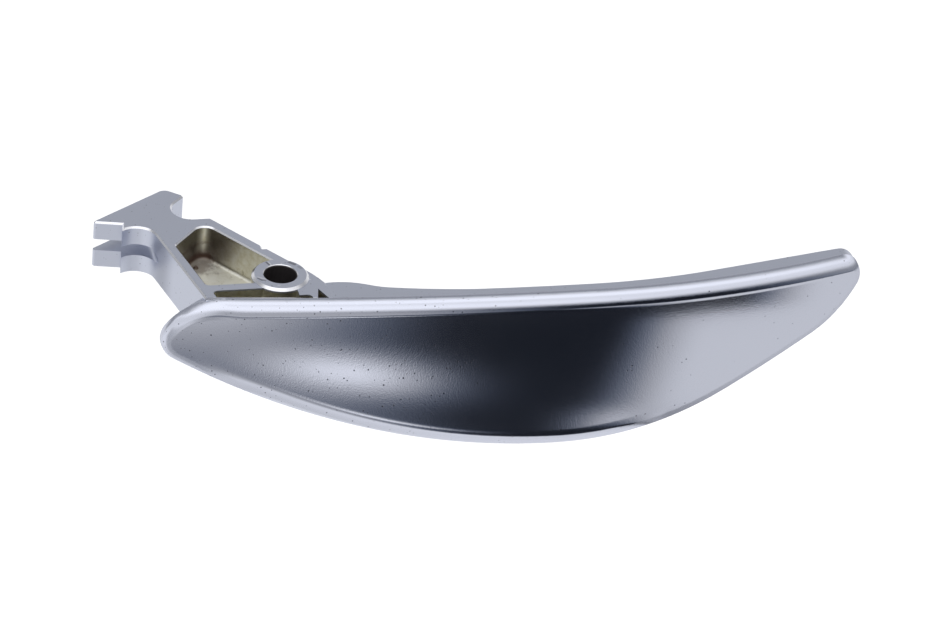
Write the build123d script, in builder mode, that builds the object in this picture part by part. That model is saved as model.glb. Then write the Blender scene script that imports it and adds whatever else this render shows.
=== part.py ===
"""Inner door handle lever of a car, die-cast in one piece of zinc alloy and satin plated.

The lever turns on an upright pin in the boss at the origin. The leaf-shaped grip stands in front of the
boss and runs to the right. The arm runs back and to the left, and ends in a fork that holds the barrel
end of the latch cable, with a hook beside it. Sizes are in millimetres: +Z is along the pin, +X runs
along the grip and -Y is towards the person who pulls it.
"""

from build123d import *
from math import cos, degrees, radians, sin, sqrt
import os

# Boss and bore
bore_dia = 5.6
bore_chamfer = 0.25
boss_dia = 10.0
boss_proud = 0.5
boss_chamfer = 0.45

# Arm: a flat casting with a pocket on each side of a rib
arm_thick = 9.3
arm_edge_chamfer = 0.3
side_wall = 1.9
back_wall = 2.2
floor_thick = 2.6
floor_round = 0.8
pocket_corner = 0.8
pocket_nose = 2.2
pocket_rim_chamfer = 0.25
pip_x = -12.0
pip_y = 14.2
pip_radius = 0.5
pip_top_radius = 0.3
pip_height = 0.4
rib_y = -1.4
rib_thick = 2.0
side_angle = -76.4
back_angle = -52.9
side_foot_x = -14.0

# Seat for the barrel end of the cable, and the slot for its wire
seat_x = -22.6
seat_y = 14.5
seat_radius = 3.6
seat_open_angle = 126.0
seat_wall = 3.0
seat_wall_angle = 48.3
wire_slot = 2.25
wire_slot_end = -18.7

# Prongs of the fork, beside the seat
post_x = -24.4
post_y = 19.4
prong_length = 5.5
prong_angle = 167.7
fork_back_angle = 33.5
prong_round = 0.4

# Hook beside the fork
hook_x = -11.6
hook_y = 23.2
hook_radius = 3.35
hook_wrap = 135.0
hook_lip = 2.8
hook_crown_x = -15.3
hook_crown_round = 1.8
hook_tip_round = 0.5

# Back edge of the arm, with a small step in it
shoulder_x = -8.72
step_y = 10.2
step_size = 1.1
heel_x = 4.9

# Pocket behind the grip, which ends under a low arch beside the boss
arch_left_x = 2.2
arch_right_x = 4.4
arch_rise = 1.1
arch_round = 0.9

# Web between the boss and the root of the grip, with a three-sided pocket and an end wall
web_pocket_depth = 6.0
web_pocket_left = 5.2
web_pocket_right = 7.1
web_pocket_x = 5.8
web_pocket_y = -4.5
end_wall_back_x = 7.5
end_wall_back_y = -2.5
end_wall_front_x = 8.1

# Root of the grip: a block that fades out along the grip's back
root_x = 7.2
root_y = -1.9
root_rise = 0.12
root_fall_x = 15.2
root_fall_y = -3.3
root_neck_x = 18.4
root_neck_y = -4.4
root_end_x = 42.0
root_depth = 12.0
root_chamfer = 0.6

# Grip: a leaf, bowed along its length and leaning back
grip_lean = 12.0
crease_x = 54.0
crease_y = -9.55
bow_left = 560.0
bow_right = 168.0
back_bow_right = 120.0
back_bow_end_x = 76.0
brow_x = -10.5
left_x = -23.0
left_z = -4.5
belly_x = 46.5
belly_z = -22.95
heel_bend_x = 78.0
heel_bend_z = -16.2
point_bend_x = 94.0
point_bend_z = -8.8
right_x = 105.3
left_round = 4.0
right_round = 3.6
lip_top = 2.8
lip_bottom = 4.0
lip_round = 2.6
dish = 0.7
back_depth = 2.7
scoop = 0.8
back_chamfer = 0.6
seam_step = 0.25
fade_x = -17.0
fade_angle = 16.0

# Overlaps that fuse one form into the next
bite = 0.3
seam_overlap = 1.0

# How squarely a face looks forwards or backwards, as a cosine
facing = 0.9

# Derived places
half = arm_thick / 2
boss_radius = boss_dia / 2
lean = radians(grip_lean)
grip_up = Vector(0, sin(lean), cos(lean))
along_side = Vector(1, 0).rotate(Axis.Z, side_angle)
along_back = Vector(1, 0).rotate(Axis.Z, back_angle)
reach = 60.0


def at_y(point, direction, y):
    """The point at this Y on the line through a point."""
    return point + direction * ((y - point.Y) / direction.Y)


def at_x(point, direction, x):
    """The point at this X on the line through a point."""
    return point + direction * ((x - point.X) / direction.X)


def crossing(point, direction, other, other_direction):
    """Where two lines in plan meet."""
    return point + direction * ((other - point).cross(other_direction).Z / direction.cross(other_direction).Z)


def crease_at(x):
    """Y of the seam along the grip's top edge."""
    bow = bow_left if x < crease_x else bow_right
    return crease_y + (bow - sqrt(bow**2 - (x - crease_x) ** 2)) / cos(lean)


# Spines of the grip: the bowed lines that its sections follow, along the seam and along the back
spine_plane = Plane(origin=(crease_x, crease_y, half), x_dir=(1, 0, 0), z_dir=grip_up)
margin = 6.0
left_sweep = degrees((crease_x - left_x + margin) / bow_left)
right_sweep = degrees((right_x - crease_x + margin) / bow_right)
with BuildLine(spine_plane) as spine:
    CenterArc((0, bow_left), bow_left, 270 - left_sweep, left_sweep)
    CenterArc((0, bow_right), bow_right, 270, right_sweep)
with BuildLine(spine_plane) as back_spine:
    CenterArc((0, bow_left), bow_left, 270 - left_sweep, left_sweep)
    back_sweep = degrees((back_bow_end_x - crease_x) / back_bow_right)
    bend = CenterArc((0, back_bow_right), back_bow_right, 270, back_sweep)
    Line(bend @ 1, bend @ 1 + (bend % 1) * (right_x - back_bow_end_x + margin))
spine_path = spine.wire()
back_path = back_spine.wire()
spine_start = spine_path % 0
section_plane = Plane(origin=spine_path @ 0, x_dir=grip_up.cross(spine_start), z_dir=spine_start)

# Heights along the leaning face, with a margin past both edges of the leaf
face_height = (half - belly_z) / cos(lean)
section_top = margin
section_low = -face_height - margin
seam_lean = lip_bottom - lip_top
seam_top = -margin * seam_lean / face_height
seam_low = seam_lean - seam_top

# How far behind the seam a section's outline stands, in depths of its hollow face
far_side = 3.0


def section(top_depth, middle_depth, low_depth, start_depth=0.0):
    """Section of the grip from the seam, or a line beside it, to a hollow face through three depths."""
    face = ThreePointArc(
        (top_depth, 0), (middle_depth, -face_height / 2), (low_depth, -face_height)
    )
    with BuildSketch(section_plane) as cut:
        with BuildLine():
            Polyline(
                (seam_top + start_depth, section_top),
                (seam_low + start_depth, section_low),
                (far_side * top_depth, section_low),
                (far_side * top_depth, section_top),
                close=True,
            )
        make_face()
        with Locations(face.arc_center):
            Circle(face.radius, mode=Mode.SUBTRACT)
    return cut.sketch


def rim(faces):
    """The edges around a run of faces, without those between two of them."""
    edges = faces.edges()
    uses = [sum(edge.is_same(other) for face in faces for other in face.edges()) for edge in edges]
    return ShapeList([edge for edge, count in zip(edges, uses) if count == 1])


# Leaf: the outline of the grip as seen from the front
with BuildSketch(Plane.XZ) as leaf:
    with BuildLine():
        TangentArc((belly_x, belly_z), (left_x, left_z), tangent=(-1, 0))
        under_right = TangentArc((belly_x, belly_z), (heel_bend_x, heel_bend_z), tangent=(1, 0))
        under_point = TangentArc(under_right @ 1, (point_bend_x, point_bend_z), tangent=under_right % 1)
        point = TangentArc(under_point @ 1, (right_x, half), tangent=under_point % 1)
        top = Line(point @ 1, (brow_x, half))
        TangentArc(top @ 1, (left_x, left_z), tangent=(-1, 0))
    make_face()
    fillet(leaf.vertices().sort_by(Axis.X)[0], left_round)
    fillet(leaf.vertices().sort_by(Axis.X)[-1], right_round)

# Front of the grip, from its dished face back to the seam
with BuildPart() as grip_front:
    sweep(section(-lip_top, dish - lip_top, -lip_top), path=spine_path)
    extrude(leaf.sketch, amount=reach, both=True, mode=Mode.INTERSECT)
    fillet(rim(grip_front.faces().filter_by(lambda face: face.normal_at().Y < -facing)), lip_round)

# Back of the grip, set in at the seam, with a shallow scoop for the fingers
with BuildPart() as grip_back:
    back_low = back_depth + seam_lean
    sweep(section(back_depth, (back_depth + back_low) / 2 - scoop, back_low, -seam_overlap), path=back_path)
    with BuildSketch(Plane.XZ) as set_in:
        add(leaf.sketch_local)
        offset(amount=-seam_step, mode=Mode.REPLACE)
    extrude(set_in.sketch, amount=reach, both=True, mode=Mode.INTERSECT)
    chamfer(rim(grip_back.faces().filter_by(lambda face: face.normal_at().Y > facing)), back_chamfer)
    sweep(section(-lip_top, -lip_top, -lip_top - seam_lean), path=spine_path, mode=Mode.SUBTRACT)
    fade_normal = Vector(1, 0).rotate(Axis.Z, fade_angle - 90)
    split(bisect_by=Plane(origin=(fade_x, crease_at(fade_x), 0), z_dir=fade_normal), keep=Keep.TOP)

# Root of the grip: a block that leans with the grip and fades out along its back
with BuildPart() as root:
    with BuildSketch(Plane.XY.offset(half - seam_step)):
        with BuildLine():
            wall = Line((root_x, crease_at(root_x) - bite), (root_x, root_y))
            hump = TangentArc(wall @ 1, (root_fall_x, root_fall_y), tangent=(1, root_rise))
            neck = TangentArc(hump @ 1, (root_neck_x, root_neck_y), tangent=hump % 1)
            run_out = TangentArc(neck @ 1, (root_end_x, crease_at(root_end_x) + back_depth), tangent=neck % 1)
            Polyline(run_out @ 1, (root_end_x, crease_at(root_end_x) - bite), wall @ 0)
        make_face()
    extrude(amount=root_depth, dir=-grip_up)
    root_top = root.faces().sort_by(Axis.Z)[-1]
    root_edges = root_top.edges().filter_by(lambda edge: edge.center().Y > crease_at(edge.center().X))
    chamfer(root_edges.sort_by(Axis.X)[1:], root_chamfer)

# Plan outline of the arm
with BuildSketch(Plane.XY.offset(-half)) as arm_outline:
    with BuildLine():
        seat_sweep = seat_open_angle - side_angle - 90
        seat_arc = CenterArc((seat_x, seat_y), seat_radius, side_angle + 90, seat_sweep)
        side_foot = at_x(seat_arc @ 0, along_side, side_foot_x)
        Line(side_foot, seat_arc @ 0)
        Line(seat_arc @ 1, (post_x, post_y))
        prong = PolarLine((post_x, post_y), prong_length, prong_angle)
        hook_arc = CenterArc((hook_x, hook_y), hook_radius, 270, -hook_wrap)
        lip = PolarLine(hook_arc @ 1, hook_lip, 180 - hook_wrap)
        crown = at_x(prong @ 1, Vector(1, 0).rotate(Axis.Z, fork_back_angle), hook_crown_x)
        Polyline(prong @ 1, crown, lip @ 1)
        shoulder = Line(hook_arc @ 0, (shoulder_x, hook_y - hook_radius))
        step_top = at_y(shoulder @ 1, along_back, step_y)
        step_low = at_y(shoulder @ 1, along_back, step_y - step_size)
        heel_top = at_x(shoulder @ 1, along_back, heel_x)
        Polyline(shoulder @ 1, step_top, (step_top.X, step_low.Y), step_low, heel_top)
        heel = TangentArc(heel_top, (end_wall_back_x, end_wall_back_y), tangent=along_back)
        end_wall_foot = Vector(end_wall_front_x, crease_at(end_wall_front_x) - bite)
        Polyline(heel @ 1, end_wall_foot, side_foot)
    make_face()
    for corner, size in ((crown, hook_crown_round), (lip @ 1, hook_tip_round), (prong @ 1, prong_round)):
        fillet(arm_outline.vertices().sort_by_distance(corner)[0], size)

# Pocket in the arm, between the seat, the back edge and the rib
side_inner = seat_arc @ 0 + along_side.rotate(Axis.Z, 90) * side_wall
back_inner = shoulder @ 1 - along_back.rotate(Axis.Z, 90) * back_wall
along_seat = Vector(1, 0).rotate(Axis.Z, seat_wall_angle)
seat_inner = Vector(seat_x, seat_y) + along_seat.rotate(Axis.Z, -90) * (seat_radius + seat_wall)
with BuildSketch(Plane.XY.offset(half)) as arm_pocket:
    with BuildLine():
        rib_corner = at_y(side_inner, along_side, rib_y)
        seat_corner = crossing(side_inner, along_side, seat_inner, along_seat)
        nose = crossing(seat_inner, along_seat, back_inner, along_back)
        Polyline(rib_corner, seat_corner, nose, at_y(back_inner, along_back, rib_y), close=True)
    make_face()
    for corner, size in ((rib_corner, pocket_corner), (seat_corner, pocket_corner), (nose, pocket_nose)):
        fillet(arm_pocket.vertices().sort_by_distance(corner)[0], size)

# Pocket between the rib and the grip
with BuildSketch(Plane.XY.offset(half)) as grip_pocket:
    with BuildLine():
        rib_front = rib_y - rib_thick
        left_back = at_y(side_inner, along_side, rib_front)
        left_front = at_y(side_inner, along_side, crease_at(left_back.X))
        arch_y = crease_at(arch_right_x) + arch_rise
        Polyline(
            left_front,
            left_back,
            (arch_left_x, rib_front),
            (arch_left_x, arch_y),
            (arch_right_x, arch_y),
            (arch_right_x, crease_at(arch_right_x)),
            close=True,
        )
    make_face()
    fillet(grip_pocket.vertices().sort_by_distance(left_back)[0], pocket_corner)
    fillet(grip_pocket.vertices().sort_by_distance((arch_right_x, arch_y))[0], arch_round)

# Three-sided pocket in the web
with BuildSketch(Plane.XY.offset(half)) as web_pocket:
    with BuildLine():
        Polyline(
            (web_pocket_x, web_pocket_y),
            (web_pocket_right, crease_at(web_pocket_right)),
            (web_pocket_left, crease_at(web_pocket_left)),
            close=True,
        )
    make_face()

# Hollow of the arm's pocket, with a rounded foot to its walls and the pip left by the mould
pocket_depth = arm_thick - floor_thick
with BuildPart() as arm_hollow:
    extrude(arm_pocket.sketch, amount=-pocket_depth)
    fillet(arm_hollow.faces().sort_by(Axis.Z)[0].edges(), floor_round)
    with Locations((pip_x, pip_y, half - pocket_depth + pip_height / 2)):
        Cone(pip_radius, pip_top_radius, pip_height, mode=Mode.SUBTRACT)

# Boss, proud of both faces of the arm
with BuildPart() as boss:
    Cylinder(boss_radius, arm_thick + 2 * boss_proud)
    chamfer(boss.edges().filter_by(GeomType.CIRCLE), boss_chamfer)

# The whole casting
with BuildPart() as lever_casting:
    extrude(arm_outline.sketch, amount=arm_thick)
    chamfer(lever_casting.faces().filter_by(Axis.Z).edges(), arm_edge_chamfer)
    add(grip_back.part)
    add(root.part)
    add(arm_hollow.part, mode=Mode.SUBTRACT)
    extrude(grip_pocket.sketch, amount=-pocket_depth, mode=Mode.SUBTRACT)
    top_face = lever_casting.faces().filter_by(Axis.Z).sort_by(Axis.Z)[-1]
    rims = ShapeList([edge for wire in top_face.inner_wires() for edge in wire.edges()])
    chamfer(rims.filter_by(lambda edge: edge.center().Y > rib_y - 2 * rib_thick), pocket_rim_chamfer)
    extrude(web_pocket.sketch, amount=-web_pocket_depth, mode=Mode.SUBTRACT)
    add(grip_front.part)
    add(boss.part)

    # Wire slot through the fork, with a round end
    with BuildSketch(Plane.XZ.offset(-seat_y + seat_radius)):
        with Locations((wire_slot_end - reach / 2, 0)):
            SlotOverall(reach, wire_slot)
    extrude(amount=-reach, mode=Mode.SUBTRACT)

    # Bore for the pin, with a chamfer at each mouth
    Hole(bore_dia / 2)
    circles = lever_casting.edges().filter_by(GeomType.CIRCLE)
    mouths = circles.filter_by(lambda edge: abs(edge.radius - bore_dia / 2) < bore_chamfer)
    chamfer(mouths.group_by(Axis.Z)[0] + mouths.group_by(Axis.Z)[-1], bore_chamfer)

lever_casting.part.label = "lever_casting"
os.makedirs("parts", exist_ok=True)
export_step(lever_casting.part, "parts/lever_casting.step")
print("volume", round(lever_casting.part.volume), "size", lever_casting.part.bounding_box().size)
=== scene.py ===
# %% [markdown]
# # Inner door handle of a car, in satin chrome
# The real part is one zinc die casting: a bowed, leaf-shaped grip in front, an upright bore for the
# pivot pin, and a pocketed arm that ends in a fork for the latch cable. After casting the grip is
# polished, the arm is left as it came from the die, and all of it is plated. The CAD model gives
# every form, so this lesson is about finish and light: how plain metal is made to look like this one.

# %% Load the frame
import math

import bpy
from mathutils import Matrix, Vector

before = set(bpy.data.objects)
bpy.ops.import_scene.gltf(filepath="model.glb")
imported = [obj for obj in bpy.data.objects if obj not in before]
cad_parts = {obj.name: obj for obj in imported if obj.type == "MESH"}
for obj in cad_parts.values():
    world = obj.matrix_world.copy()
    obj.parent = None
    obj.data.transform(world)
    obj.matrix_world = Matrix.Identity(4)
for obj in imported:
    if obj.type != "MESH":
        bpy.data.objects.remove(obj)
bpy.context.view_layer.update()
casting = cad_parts["lever_casting"]
MM = 0.001

# %% [markdown]
# ## The camera
# The photograph looks down on the lever from its front, a little from the left, with the camera
# rolled by a few degrees. The bore's ellipse gave the height of the view, and the grip's two ends
# gave the roll. A long lens far away keeps upright walls parallel, as they are in the photograph.

# %% Camera at the photograph's viewing angle
VIEW_LEFT = 15.0
VIEW_HEIGHT = 33.0
ROLL = 5.0
DISTANCE = 1.0
PIXELS_PER_METRE = 5800.0
FRAME_WIDTH, FRAME_HEIGHT = 950, 634
BORE_TOP = Vector((0, 0, 4.7 * MM))
BORE_PIXEL = (280.3, 276.0)

left, height, roll = (math.radians(angle) for angle in (VIEW_LEFT, VIEW_HEIGHT, ROLL))
back = Vector((-math.sin(left) * math.cos(height), -math.cos(left) * math.cos(height), math.sin(height)))
level = Vector((math.cos(left), -math.sin(left), 0))
upright = back.cross(level)
right = level * math.cos(roll) + upright * math.sin(roll)
up = upright * math.cos(roll) - level * math.sin(roll)

across = (BORE_PIXEL[0] - FRAME_WIDTH / 2) / PIXELS_PER_METRE
down = (BORE_PIXEL[1] - FRAME_HEIGHT / 2) / PIXELS_PER_METRE
eye = BORE_TOP + back * DISTANCE - right * across + up * down

camera_data = bpy.data.cameras.new("photo_camera")
camera_data.sensor_width = 36.0
camera_data.lens = camera_data.sensor_width * PIXELS_PER_METRE * DISTANCE / FRAME_WIDTH
camera_data.clip_start = 0.05
camera = bpy.data.objects.new("photo_camera", camera_data)
bpy.context.scene.collection.objects.link(camera)
turn = Matrix((right, up, back)).transposed().to_4x4()
camera.matrix_world = Matrix.Translation(eye) @ turn
bpy.context.scene.camera = camera
print("camera at, mm:", [round(c / MM) for c in eye], "lens, mm:", round(camera_data.lens, 1))

# %% [markdown]
# ## Writing shader maths as sums
# A finish is easier to read as a formula than as a page of node links. `Wire` holds one socket and
# turns + - * / into Math nodes, the other way round too, so that `1 - mask` works. Every other node
# comes from `node`, which sets a node up first and then fills its sockets with values or wires.

# %% A small class for sockets
class Wire:
    """One output socket in a node tree, with operators that add Math nodes."""

    def __init__(self, tree, socket):
        self.tree = tree
        self.socket = socket

    def math(self, operation, *others):
        return node(self.tree, "Math", {"operation": operation}, dict(enumerate((self, *others))))

    def __add__(self, other):
        return self.math("ADD", other)

    def __sub__(self, other):
        return self.math("SUBTRACT", other)

    def __mul__(self, other):
        return self.math("MULTIPLY", other)

    def __truediv__(self, other):
        return self.math("DIVIDE", other)

    def __rsub__(self, other):
        return self * -1.0 + other

    __radd__ = __add__
    __rmul__ = __mul__

    def at_least(self, low):
        return self.math("MAXIMUM", low)

    def at_most(self, high):
        return self.math("MINIMUM", high)

    def step(self, low, high):
        """0 below low, 1 above high and a smooth rise between them."""
        settings = {"interpolation_type": "SMOOTHSTEP"}
        return node(self.tree, "MapRange", settings, {"Value": self, "From Min": low, "From Max": high})

    def switch(self):
        """0 below zero and 1 above it, with a very short rise."""
        return self.step(-0.01, 0.01)

    def bell(self, centre, width):
        """1 at the centre, falling to 0 on both sides of it."""
        away = (self - centre) / width
        return (away * away * -1.0).math("EXPONENT")


print("Wire is ready for + - * / and for steps and bells")

# %% Helpers for nodes, mixes and distances
def node(tree, kind, settings=None, sockets=None, output=0):
    """Adds one node: its settings first, then the values or wires of its sockets."""
    new = tree.nodes.new("ShaderNode" + kind)
    for name, value in (settings or {}).items():
        setattr(new, name, value)
    for name, value in (sockets or {}).items():
        if isinstance(value, Wire):
            tree.links.new(value.socket, new.inputs[name])
        else:
            new.inputs[name].default_value = value
    return Wire(tree, new.outputs[output]) if new.outputs else None


def mix_colour(factor, first, second):
    """The first colour where factor is 0, the second where it is 1."""
    sockets = {0: factor, 6: first, 7: second}
    return node(factor.tree, "Mix", {"data_type": "RGBA"}, sockets, output=2)


def mix_direction(factor, first, second):
    """The first vector where factor is 0, the second where it is 1."""
    sockets = {0: factor, 4: first, 5: second}
    return node(factor.tree, "Mix", {"data_type": "VECTOR"}, sockets, output=1)


def direction(parts):
    """A vector from its x, y and z parts."""
    return node(parts[0].tree, "CombineXYZ", None, dict(enumerate(parts)))


def split(vector):
    """The three parts of a vector, as wires."""
    return [node(vector.tree, "SeparateXYZ", None, {0: vector}, output=i) for i in range(3)]


def distance(across, along):
    """Length of the line with these two sides."""
    return (across * across + along * along).math("SQRT")


def new_tree(owner):
    """An empty node tree of a material or a world."""
    owner.use_nodes = True
    owner.node_tree.nodes.clear()
    return owner.node_tree


def close_tree(shader, kind):
    """Links a shader to the output node of its tree, which has no outputs of its own."""
    node(shader.tree, "Output" + kind, None, {"Surface": shader})


print("node adds every node, the output nodes too")

# %% [markdown]
# ## Where a point of the casting lies
# One casting needs several finishes, so the shader has to know which part of it a point is on. The
# grip follows a bow of two radii that leans back by 12 degrees. Measured from that bow, every point
# has a height up the grip and a depth, and the seam between the polished front and the cast back is
# simply where the depth changes sign. No image and no painting by hand is needed.

# %% Point and normal, in millimetres
finish = bpy.data.materials.new("satin_chrome")
tree = new_tree(finish)
place = node(tree, "TexCoord", output="Object")
place_mm = node(tree, "VectorMath", {"operation": "SCALE"}, {0: place, 3: 1 / MM})
x, y, z = split(place_mm)
nx, ny, nz = split(node(tree, "TexCoord", output="Normal"))
print("the shader counts in mm, to one metre:", 1 / MM)

# %% Depth behind the seam
ARM_TOP = 4.65
SEAM_X, SEAM_Y = 54.0, -9.55
BOW_LEFT, BOW_RIGHT = 560.0, 168.0
LEAN = math.radians(12.0)
LEAN_COS, LEAN_SIN = math.cos(LEAN), math.sin(LEAN)
FACE_HEIGHT = 28.2
SEAM_RUN = 1.2
SEAM_SOFTNESS = 0.06
SQUARE_TO_BOW = (0.93, 0.985)

along = x - SEAM_X
inward = (y - SEAM_Y) * LEAN_COS - (z - ARM_TOP) * LEAN_SIN
tall = (y - SEAM_Y) * LEAN_SIN + (z - ARM_TOP) * LEAN_COS
bow = along.switch() * (BOW_RIGHT - BOW_LEFT) + BOW_LEFT
to_centre = bow - inward
reach = distance(along, to_centre)
behind = bow - reach + tall * (SEAM_RUN / FACE_HEIGHT)
front = 1 - behind.step(-SEAM_SOFTNESS, SEAM_SOFTNESS)
facing = (nx * along - (ny * LEAN_COS - nz * LEAN_SIN) * to_centre) / reach
blade = facing.step(*SQUARE_TO_BOW) * front
print("seam at x = 0, mm:", round(SEAM_Y + SEAM_X**2 / 2 / BOW_LEFT, 2))

# %% [markdown]
# ## A smoother normal for the face
# The mesh of the face is made of flat triangles, and metal this smooth shows the kinks between them
# as stripes. The face is a known form, a hollow arc carried along the bow, so its
# normal is written down here as a formula instead. The two radii of the bow are blended into each
# other, as a polishing wheel does.

# %% Bearing and tilt of the face
DISH_DEPTH = 0.7
DISH_RADIUS = (FACE_HEIGHT / 2) ** 2 / 2 / DISH_DEPTH
BOW_BLEND = 7.0

ease = (along + (along * along + BOW_BLEND * BOW_BLEND).math("SQRT")) / 2
bearing = along / BOW_LEFT + ease * (1 / BOW_RIGHT - 1 / BOW_LEFT)
sideways, outward = bearing.math("SINE"), bearing.math("COSINE")
tilt = (tall + FACE_HEIGHT / 2) / -DISH_RADIUS
print("radius of the hollow, mm:", round(DISH_RADIUS))

# %% [markdown]
# ## The lower lip
# The outline under the grip is two arcs that meet at the belly. The distance to them says how far the
# polished face has turned over the rim. The CAD model rounds every lip by 2.6 mm. This one is shaded
# as if it turned over 4 mm, which came closer to the photograph's reflections. It is a liberty
# of the finish: the shape itself isn't changed by it.

# %% Normal of the face and its lower lip
LIP_ROUND = 2.6
ROLL_WIDTH, ROLL_POWER = 4.0, 1.5
BELLY_X, BELLY_Z = 46.5, -22.95
UNDER_LEFT, UNDER_RIGHT = 140.1, 76.9
LOWER_LIP_STARTS, LOWER_LIP_ENDS = (-18.0, 0.0), (56.0, 68.0)

beyond = x - BELLY_X
under = beyond.switch() * (UNDER_RIGHT - UNDER_LEFT) + UNDER_LEFT
above_centre = z - under - BELLY_Z
from_centre = distance(beyond, above_centre)
rim_gap = under - from_centre
lower_edge = x.step(*LOWER_LIP_STARTS) * (1 - x.step(*LOWER_LIP_ENDS))
turned_over = (1 - rim_gap / ROLL_WIDTH).at_least(0.0).at_most(1.0)
rolled = turned_over.math("POWER", ROLL_POWER) * lower_edge
kept = (1 - rolled * rolled).math("SQRT")

face_x = sideways * kept + rolled * beyond / from_centre
face_y = (tilt * LEAN_SIN - outward * LEAN_COS) * kept
face_z = (tilt * LEAN_COS + outward * LEAN_SIN) * kept + rolled * above_centre / from_centre
face_normal = direction((face_x, face_y, face_z))
print("lower lip, mm: shaded", ROLL_WIDTH, "and rounded in the CAD model", LIP_ROUND)

# %% [markdown]
# ## The top lip
# The top edge is straight and then bends down at the brow, on the left. Measured from the centre of
# the brow's arc, one formula serves both stretches. The lip is shaded 2.6 mm wide on the straight, as
# it is in the CAD model. At the left end it is shaded half as wide, again a choice.

# %% Normal of the top lip
BROW_X, BROW_RADIUS = -10.5, 13.11
LEFT_SHARE, NARROW_TO_WIDE = 0.5, (-19.0, -7.0)
SOFT_START = 0.12
LIP_BORDER = (1.0, 1.3)
TOP_LIP_STARTS = (-21.0, -17.0)

past_brow = (x - BROW_X).at_most(0.0)
above_brow = (z - ARM_TOP + BROW_RADIUS).at_least(0.01)
to_brow = distance(past_brow, above_brow)
top_gap = BROW_RADIUS - to_brow
rim_x, rim_z = past_brow / to_brow, above_brow / to_brow
lip_width = LIP_ROUND * (LEFT_SHARE + (1 - LEFT_SHARE) * x.step(*NARROW_TO_WIDE))
face_part = face_x * rim_x + face_z * rim_z
lifted = (1 - top_gap / lip_width).math("SMOOTH_MAX", face_part, SOFT_START).at_most(1.0)
level_part = (1 - lifted * lifted).math("SQRT")
top_normal = direction((sideways * level_part + lifted * rim_x, outward * level_part * -1.0, lifted * rim_z))
upper_edge = (1 - (top_gap / lip_width).step(*LIP_BORDER)) * x.step(*TOP_LIP_STARTS)
print("top lip at the left end, mm: shaded", LIP_ROUND * LEFT_SHARE)

# %% [markdown]
# ## Which normal to use
# The formulas hold on the polished front only. Where a lip has turned far away from the face, the
# mesh's own normal takes over, and on the arm it is used everywhere. At the lower right the face's
# normal is kept for longer, so that the lip there looks almost flat, which came closer.

# %% Mix the normals
TURNED_AWAY = 0.25
KEPT_UNTIL, LESS_AT_RIGHT = 0.95, 0.35
LOWER_RIGHT = (55.0, 66.0)
LOWER_LIP_BORDER = (LIP_ROUND, 3.2)

kept_until = KEPT_UNTIL - LESS_AT_RIGHT * x.step(*LOWER_RIGHT)
on_lower_lip = lower_edge * (1 - rim_gap.step(*LOWER_LIP_BORDER))
on_face = facing.step(TURNED_AWAY, kept_until) + upper_edge + on_lower_lip
on_face = on_face.at_most(1.0) * front
lip_normal = mix_direction(upper_edge, face_normal, top_normal)
mesh_normal = node(tree, "NewGeometry", output="Normal")
chosen_normal = mix_direction(on_face, mesh_normal, lip_normal)
smooth_normal = node(tree, "VectorMath", {"operation": "NORMALIZE"}, {0: chosen_normal})
print("nodes for the normal:", len(tree.nodes))

# %% [markdown]
# ## The pockets' walls
# The die leaves deep pockets in the arm where a polishing wheel can't reach and little plating gets
# in, so the metal there stays yellower than the grip. In plan the big pocket's walls are straight lines,
# so the distances past them say whether a point is inside. Limits in height keep the pocket apart from
# the arm's top and its underside.

# %% Inside the pockets
def past_wall(point_x, point_y, angle):
    """Distance in plan beyond a wall through a point, in the direction of an angle."""
    turned = math.radians(angle)
    return (x - point_x) * math.cos(turned) + (y - point_y) * math.sin(turned)


SIDE_ANGLE, BACK_ANGLE, SEAT_ANGLE = -76.4, -52.9, 48.3
WALL_BORDER, BACK_BORDER = (-0.4, -0.3), (-0.5, -0.4)
POCKET_RIGHT, POCKET_MOUTH = 7.3, 4.38
POCKET_BOTTOM = (-2.6, -2.5)
BORE_EDGE, POCKET_EDGE = (2.9, 2.96), (2.98, 3.02)

SIDE_POINT, SEAT_POINT, BACK_POINT = (-17.25, 15.8), (-17.67, 10.11), (-10.3, 18.7)

from_side = past_wall(*SIDE_POINT, SIDE_ANGLE + 90)
from_seat = past_wall(*SEAT_POINT, SEAT_ANGLE - 90)
from_back = past_wall(*BACK_POINT, BACK_ANGLE - 90)
from_axis = distance(x, y)

within = from_side.step(*WALL_BORDER) * from_seat.step(*WALL_BORDER) * from_back.step(*BACK_BORDER)
below_mouth = (POCKET_MOUTH - z).step(0.0, 0.05) * z.step(*POCKET_BOTTOM)
pocket = within * (POCKET_RIGHT - x).step(0.0, 0.1) * below_mouth
pocket = pocket * (1 - front) * from_axis.step(*POCKET_EDGE)
bore = 1 - from_axis.step(*BORE_EDGE)
print("inside of the pocket, heights in mm:", POCKET_BOTTOM[0], "to", POCKET_MOUTH)

# %% [markdown]
# ## Colour of the plating
# Chrome over nickel is a cool, slightly blue grey. The cast skin of the arm is a little darker than
# the polished grip. The small chamfers get a painted highlight, a brighter grey in their colour, and
# they are found by their normals, which lean half way up.

# %% Plating, cast skin and painted highlights on the edges
PLATING = (0.66, 0.685, 0.79, 1)
CAST_SKIN = (0.60, 0.63, 0.73, 1)
# A brighter grey: the painted highlight on the chamfers, and the wear on the boss's raised marks.
HIGHLIGHT_AND_WEAR = (0.86, 0.87, 0.92, 1)
HALF_WAY_UP, NEARLY_LEVEL = (0.5, 0.62), (0.8, 0.92)
AT_ARM_TOP = (4.1, 4.25)

# Painted highlight: the chamfers' colour is mixed towards the brighter grey.
edge = nz.step(*HALF_WAY_UP) * (1 - nz.step(*NEARLY_LEVEL)) * z.step(*AT_ARM_TOP) * (1 - front)
colour = mix_colour(front, CAST_SKIN, PLATING)
colour = mix_colour(edge, colour, HIGHLIGHT_AND_WEAR)
print("green of the cast skin over green of the plating:", round(CAST_SKIN[1] / PLATING[1], 2))

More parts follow.
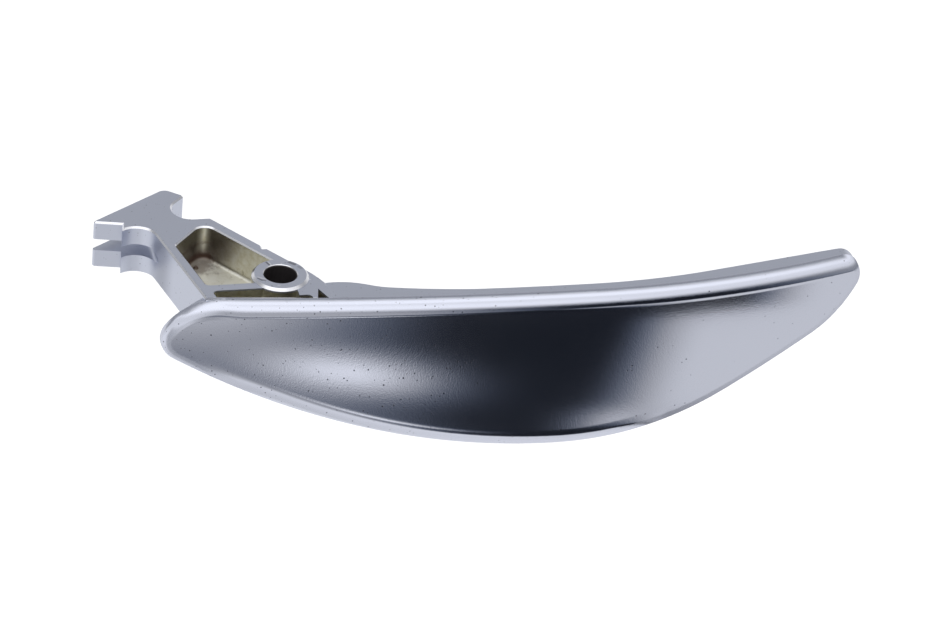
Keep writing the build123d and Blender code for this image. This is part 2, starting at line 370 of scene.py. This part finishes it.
# %% [markdown]
# ## Shade beside the cable seat
# In the photograph the arm's side wall gets darker towards the cable seat. On the real object that is
# most likely a shade and not a colour, but the light in this scene comes from far away and can't give
# it. So it is painted: a darker grey, on upright walls that face left, between the grip and the seat.

# %% Painted shade
SEAT_SHADE = (0.33, 0.35, 0.42, 1)
TOWARDS_SEAT = (7.0, 12.5)
SEAT_LEFT, SEAT_FADE = 20.0, 1.5
UPRIGHT, FACING_LEFT = (0.2, 0.4), (0.5, 0.7)
SHADE_SHARE = 0.7

near_seat = y.step(*TOWARDS_SEAT) * (x + SEAT_LEFT).step(0.0, SEAT_FADE)
near_seat = near_seat * (1 - nz.math("ABSOLUTE").step(*UPRIGHT))
near_seat = near_seat * (nx * -1.0).step(*FACING_LEFT) * (1 - front)
colour = mix_colour(near_seat * SHADE_SHARE, colour, SEAT_SHADE)
print("share of the painted shade:", SHADE_SHARE)

# %% [markdown]
# ## Pinholes
# A die casting traps fine bubbles, and polishing opens them as dark pinholes. This grip has
# more of them on its left. A Voronoi texture gives scattered points: its distance draws the holes and
# its random cell colour keeps only some of them, so that they don't look like a pattern. Each hole
# has a place of its own, and not the place of one in the photograph.

# %% Pinholes
PIT_SPACING = 0.9
PIT_SMALLEST, PIT_GROWTH = 0.075, 0.08
PIT_SHARE, PIT_SHARE_LOST = 0.85, 0.65
FEWER_PITS = (30.0, 65.0)
PIT_DARK = (0.06, 0.06, 0.08, 1)

pits = {"Vector": place_mm, "Scale": 1 / PIT_SPACING, "Randomness": 1.0}
pit_distance = node(tree, "TexVoronoi", None, pits, output="Distance") * PIT_SPACING
pit_choice = split(node(tree, "TexVoronoi", None, pits, output="Color"))
kept_share = PIT_SHARE - PIT_SHARE_LOST * x.step(*FEWER_PITS)
chosen = (kept_share - pit_choice[0]).step(0.0, 0.01)
pit_size = PIT_SMALLEST + pit_choice[1] * pit_choice[1] * PIT_GROWTH
pit = (pit_size - pit_distance).step(-0.03, 0.05) * chosen * (0.55 + 0.45 * front)
colour = mix_colour(pit * 0.8, colour, PIT_DARK)
print("pinholes, mm from middle to edge:", PIT_SMALLEST, "to", PIT_SMALLEST + PIT_GROWTH)

# %% [markdown]
# ## Scuffs on the boss
# The end face of the boss has a few small marks, some sunk and dark and some raised and bright. They
# could be cut into the mesh, but they are so shallow that a line in the shader does: short, straight
# in plan, with a soft border. They darken or brighten the metal and go into the relief.

# %% Marks on the boss
BURRS = [
    ((-1.4, 3.9), (-1.1, 3.0), 0.16),
    ((-4.1, -0.6), (-2.9, -1.35), 0.14),
    ((-1.1, -3.6), (-0.7, -3.65), 0.1),
    ((0.7, 3.05), (0.85, 3.3), 0.12),
]
GOUGES = [
    (1.0, ((-1.74, 3.88), (-1.43, 3.05), 0.15)),
    (1.0, ((-4.17, -0.96), (-3.59, -1.62), 0.13)),
    (1.0, ((-3.59, -1.62), (-2.96, -1.74), 0.13)),
    (0.75, ((2.3, 3.4), (3.0, 2.75), 0.3)),
    (0.35, ((3.6, 1.9), (3.9, 1.5), 0.3)),
]
BOSS_FACE = (4.5, 4.56)
GOUGE_DARK = (0.10, 0.10, 0.12, 1)


def stroke(start, end, width):
    """A soft mark in plan along a short line between two points, in mm."""
    run_x, run_y = end[0] - start[0], end[1] - start[1]
    from_x, from_y = x - start[0], y - start[1]
    share = (from_x * run_x + from_y * run_y) / (run_x**2 + run_y**2)
    share = share.at_least(0.0).at_most(1.0)
    return (width - distance(from_x - share * run_x, from_y - share * run_y)).step(-0.12, 0.1)


on_boss = z.step(*BOSS_FACE) * (1 - front)
burrs = sum(stroke(*mark) for mark in BURRS)
gouges = sum(strength * stroke(*mark) for strength, mark in GOUGES).at_most(1.0)
colour = mix_colour(burrs.at_most(1.0) * on_boss * 0.7, colour, HIGHLIGHT_AND_WEAR)
colour = mix_colour(gouges * on_boss * 0.8, colour, GOUGE_DARK)
print("marks on the boss:", len(BURRS) + len(GOUGES))

# %% [markdown]
# ## Grain
# A stretched noise gives the faint upright grain of the last polish, and a fine even one its sandy
# look. Rounder noises give the ripple of the plating and the skin of the casting. Each is centred on
# zero, so that it adds no height of its own.

# %% Grain of the polish and skin of the casting
def grain(scale, detail, vector=place_mm):
    """A noise around zero, with its scale in waves per mm."""
    return node(tree, "TexNoise", None, {"Vector": vector, "Scale": scale, "Detail": detail}) - 0.5


GRAIN_STRETCH = (6.0, 2.4, 1.5)
upright_place = node(tree, "VectorMath", {"operation": "MULTIPLY"}, {0: place_mm, 1: GRAIN_STRETCH})
polish = grain(1.0, 2.0, upright_place)
sand = grain(3.8, 2.0)
orange_peel = grain(1.7, 3.0)
cast_skin = grain(2.6, 4.0)
cloud = grain(0.16, 2.0)
print("waves per mm of the polish, along x, y and z:", GRAIN_STRETCH)

# %% [markdown]
# ## Stains in the pockets
# The corners of the pocket hold brown rings, probably where plating liquid dried: one just above the
# floor, and a fainter one higher up the rounded corner. Each ring is a band of height, broken up by
# noise so that it has a ragged edge.

# %% Brown rings
LOW_RING, HIGH_RING = -1.35, 1.2
CORNER_LEFT, CORNER_Y = 12.6, 16.0
BROWN_STAIN = (0.11, 0.065, 0.05, 1)

blotch = node(tree, "TexNoise", None, {"Vector": place_mm, "Scale": 0.8, "Detail": 4.0, "Roughness": 0.6})
near_corner = 1 - distance(x + CORNER_LEFT, y - CORNER_Y).step(2.0, 6.0)
low_ring = z.bell(LOW_RING, 1.1) * (blotch + near_corner * 0.55).step(0.55, 0.95)
high_ring = z.bell(HIGH_RING, 0.5) * (blotch + near_corner * 0.4).step(0.62, 0.95) * 0.6
stain = (low_ring + high_ring).at_most(1.0)
print("middles of the rings, mm:", LOW_RING, HIGH_RING)

# %% [markdown]
# ## Nickel in the pockets
# Bare nickel is yellower than chrome and mottled where the plating ran thin. Near the far corner the
# walls get a painted shade, a dark brown-grey, apart from a painted highlight down the rounded corner
# itself, and the level floor gets painted light, a paler colour.

# %% Nickel, painted shade and light, and the bore's painted shade
NICKEL = (0.82, 0.81, 0.74, 1)
THIN_NICKEL = (0.66, 0.63, 0.50, 1)
CORNER_SHADE_COLOUR = (0.22, 0.205, 0.18, 1)
PAINTED_FLOOR_LIGHT = (0.96, 0.96, 0.90, 1)
BORE_SHADE_COLOUR = (0.035, 0.03, 0.032, 1)
CORNER_SHADE_Y = 15.0

mottled = mix_colour(blotch.step(0.3, 0.7), NICKEL, THIN_NICKEL)
# Painted shade on the walls near the far corner, with a painted highlight down the rounded corner.
painted_corner_shade = 1 - distance(x + CORNER_LEFT, y - CORNER_SHADE_Y).step(3.0, 9.5)
on_floor = nz.step(0.4, 0.9)
painted_corner_highlight = nx.bell(-0.12, 0.2)
nickel_shaded_and_lit = mix_colour(painted_corner_shade * (1 - painted_corner_highlight) * (1 - on_floor) * 0.85, mottled, CORNER_SHADE_COLOUR)
# Painted light: the level floor of the pocket is mixed towards a paler colour.
nickel_shaded_and_lit = mix_colour(on_floor * 0.55, nickel_shaded_and_lit, PAINTED_FLOOR_LIGHT)
inside = mix_colour(stain, nickel_shaded_and_lit, BROWN_STAIN)
colour = mix_colour(pocket, colour, inside)
# Painted shade: the bore's walls are coloured near black.
colour = mix_colour(bore, colour, BORE_SHADE_COLOUR)
print("nodes for the normal and the colour:", len(tree.nodes))

# %% [markdown]
# ## Relief and roughness
# The relief of the grain is shallow, a few thousandths of a millimetre, because on metal this smooth
# a small tilt already moves the reflection. The marks on the boss go about a hundredth deep. The grip
# is satin, its rounded lips are a little softer, and the arm scatters more than both.

# %% Relief
RELIEF_DEPTH = 0.0022 * MM
relief = (polish * 0.6 + sand) * blade + orange_peel * 0.4 * front + cast_skin * (1 - front) * 2.2
relief = relief - pit * 1.2 - gouges * on_boss * 6.0 + burrs * on_boss * 3.0
bump = {"Strength": 1.0, "Distance": RELIEF_DEPTH, "Height": relief, "Normal": smooth_normal}
bumped = node(tree, "Bump", None, bump, output="Normal")
print("one unit of relief, mm:", round(RELIEF_DEPTH / MM, 4))

# %% Put the finish together
roughness = 0.40 - 0.16 * front - 0.15 * blade - 0.16 * edge + 0.02 * cloud
roughness = roughness - 0.06 * pocket + 0.2 * bore
surface = {
    "Base Color": colour,
    "Metallic": 1 - 0.5 * (stain + on_floor) * pocket - 0.5 * bore,
    "Roughness": roughness,
    "Normal": bumped,
}
close_tree(node(tree, "BsdfPrincipled", None, surface), "Material")
casting.data.materials.clear()
casting.data.materials.append(finish)
print("nodes in the finish:", len(tree.nodes))

# %% [markdown]
# ## The light tent
# Metal shows its surroundings more than its own colour, so the studio is drawn as carefully as the
# finish. It is a soft one: a large soft box overhead, a pale table, pale walls on both sides, a
# small reflector beside the camera and a dark gap where the photographer stands. The world shader
# builds it from the direction of a ray: `side` is its bearing and `rise` its height, in degrees.

# %% Direction of a ray
world = bpy.data.worlds.new("studio")
bpy.context.scene.world = world
sky = new_tree(world)
dx, dy, dz = split(node(sky, "TexCoord", output="Generated"))
DEGREES = 180.0 / math.pi
side = dx.math("ARCTAN2", dy * -1.0) * DEGREES
rise = dz.math("ARCSINE") * DEGREES
level_off = rise.step(-4.0, 4.0)
print("nodes for the direction:", len(sky.nodes))

# %% [markdown]
# ## What the face mirrors
# The bowed face reflects what stands in front of it, so its bright and dark patches say where the
# walls of the tent end. The left wall is bright with a darker band a little below the horizon. The
# right wall begins at a slanting edge. Between them lies the dark gap, with the small reflector at its
# left. The bearings and heights were tuned to bring the patches near to where the photograph has them.

# %% Left wall, with a darker band below the horizon
LEFT_WALL, UPPER_LEFT_WALL, FAR_LEFT_GAIN = 0.97, 0.50, 0.35
BAND_DARKNESS, BAND_RISE, BAND_HEIGHT = 0.745, -10.8, 10.8

far_left = (side * -1.0).step(6.0, 20.0)
left_wall = LEFT_WALL - BAND_DARKNESS * rise.bell(BAND_RISE, BAND_HEIGHT) * (1 - far_left)
left_wall = left_wall * (1 - level_off) + (UPPER_LEFT_WALL + FAR_LEFT_GAIN * far_left) * level_off
left_wall = left_wall * (1 - (side - 6.0 * level_off).step(-3.0, 8.4))
print("left wall and its band:", LEFT_WALL, round(LEFT_WALL - BAND_DARKNESS, 3))

# %% Right wall, whose near edge slants
RIGHT_WALL = 0.735
EDGE_RISE, EDGE_SLANT, EDGE_STEP = 11.0, 0.38, 14.0

slant = side + (rise + EDGE_RISE) * EDGE_SLANT - (rise * -1.0).step(17.0, 18.4) * EDGE_STEP
right_edge = slant.step(15.6, 26.9)
right_wall = RIGHT_WALL * right_edge * (1 - rise.step(-5.5, -0.5))
print("right wall:", RIGHT_WALL)

# %% Reflector, low glow and the gap
REFLECTOR, REFLECTOR_SLANT = 1.1, 0.6
GAP, SOFT_GAP = 0.02, 0.45

reflector_side = side - (rise + EDGE_RISE) * REFLECTOR_SLANT
reflector = REFLECTOR * reflector_side.bell(3.2, 2.7) * rise.bell(-11.0, 2.8)
low_glow = rise.step(-5.8, -2.6) * (1 - rise.step(-1.0, 5.0)) * side.step(12.0, 18.4) * (1 - right_edge)
soft_gap = SOFT_GAP * side.step(30.0, 54.0) * level_off
ahead = left_wall + right_wall + reflector + low_glow + GAP + soft_gap
print("reflector, dark gap and its softer part:", REFLECTOR, GAP, SOFT_GAP)

# %% [markdown]
# ## What the rest of the casting mirrors
# The camera looks down by 33 degrees, so the level top of the arm reflects the wall behind the object
# at 33 degrees, and upright walls reflect the table. The rounded top lip, half way between the two,
# reflects the soft box. Smooth steps blend them, because hard borders would show in the metal.

# %% Walls behind the object, table and soft box
OVERHEAD, TABLE = 1.3, 0.92
BACK_WALL, BACK_SWEEP = 0.36, 0.85

behind_object = side.math("ABSOLUTE").step(70.0, 100.0)
around = BACK_WALL + (BACK_SWEEP - BACK_WALL) * (1 - rise.step(4.0, 24.0))
walls = ahead * (1 - behind_object) + around * behind_object
below = (rise * -1.0 - 3.0 * side.step(8.0, 20.0)).step(19.8, 25.0)
table = TABLE * (1 - 0.25 * side.bell(-20.0, 14.0))
above = rise.step(24.0, 50.0) * (1 - behind_object) + rise.step(36.0, 68.0) * behind_object
soft_box = OVERHEAD * above * (1 - 0.25 * side.step(10.0, 40.0) * (1 - behind_object))
table_edge = side.math("ABSOLUTE").bell(165.0, 8.0) * rise.bell(-33.0, 5.5)
strength = (walls * (1 - below) + table * below) * (1 - above) + soft_box
strength = strength * (1 - 0.6 * table_edge)
print("soft box, table and back wall:", OVERHEAD, TABLE, BACK_WALL)

# %% [markdown]
# ## A white background
# The photograph stands on pure white. Brighter lamps would wash out the metal, so white is only what
# the camera sees directly, and the metal still reflects the studio. Dim directions are tinted blue,
# because the dark parts of the real metal look bluish.

# %% World
DIM_TINT, WHITE = (0.62, 0.74, 1, 1), (1, 1, 1, 1)
seen = node(sky, "LightPath", output="Is Camera Ray")
tint = mix_colour(strength.step(0.0, 0.5), DIM_TINT, WHITE)
backdrop = {"Color": tint, "Strength": strength * (1 - seen) + seen}
close_tree(node(sky, "Background", None, backdrop), "World")
print("nodes in the studio:", len(sky.nodes))

# %% [markdown]
# ## The floor
# The photograph shows no shadow, so the white paper lies 90 mm under the origin, far enough that none
# shows on it. A little glow that only the camera sees lifts the paper to white. The paper is left out
# of the reflections, because the table in the studio above takes its place there.

# %% Sheet of paper
FLOOR_SIZE = 3.0
FLOOR_PLACE = (0.04, 0, -0.09)
PAPER = (0.95, 0.95, 0.95, 1)
PAPER_GLOW = 0.3

bpy.ops.mesh.primitive_plane_add(size=FLOOR_SIZE, location=FLOOR_PLACE)
floor = bpy.context.object
floor.name = "studio_floor"
paper = bpy.data.materials.new("paper")
paper_tree = new_tree(paper)
matte = node(paper_tree, "BsdfDiffuse", None, {"Color": PAPER})
to_camera = node(paper_tree, "LightPath", output="Is Camera Ray")
glow = node(paper_tree, "Emission", None, {"Strength": to_camera * PAPER_GLOW})
close_tree(node(paper_tree, "AddShader", None, {0: matte, 1: glow}), "Material")
floor.data.materials.append(paper)
floor.visible_glossy = False

bpy.context.scene.view_settings.view_transform = "Standard"
print("paper under the pivot's origin, mm:", round(-FLOOR_PLACE[2] / MM))
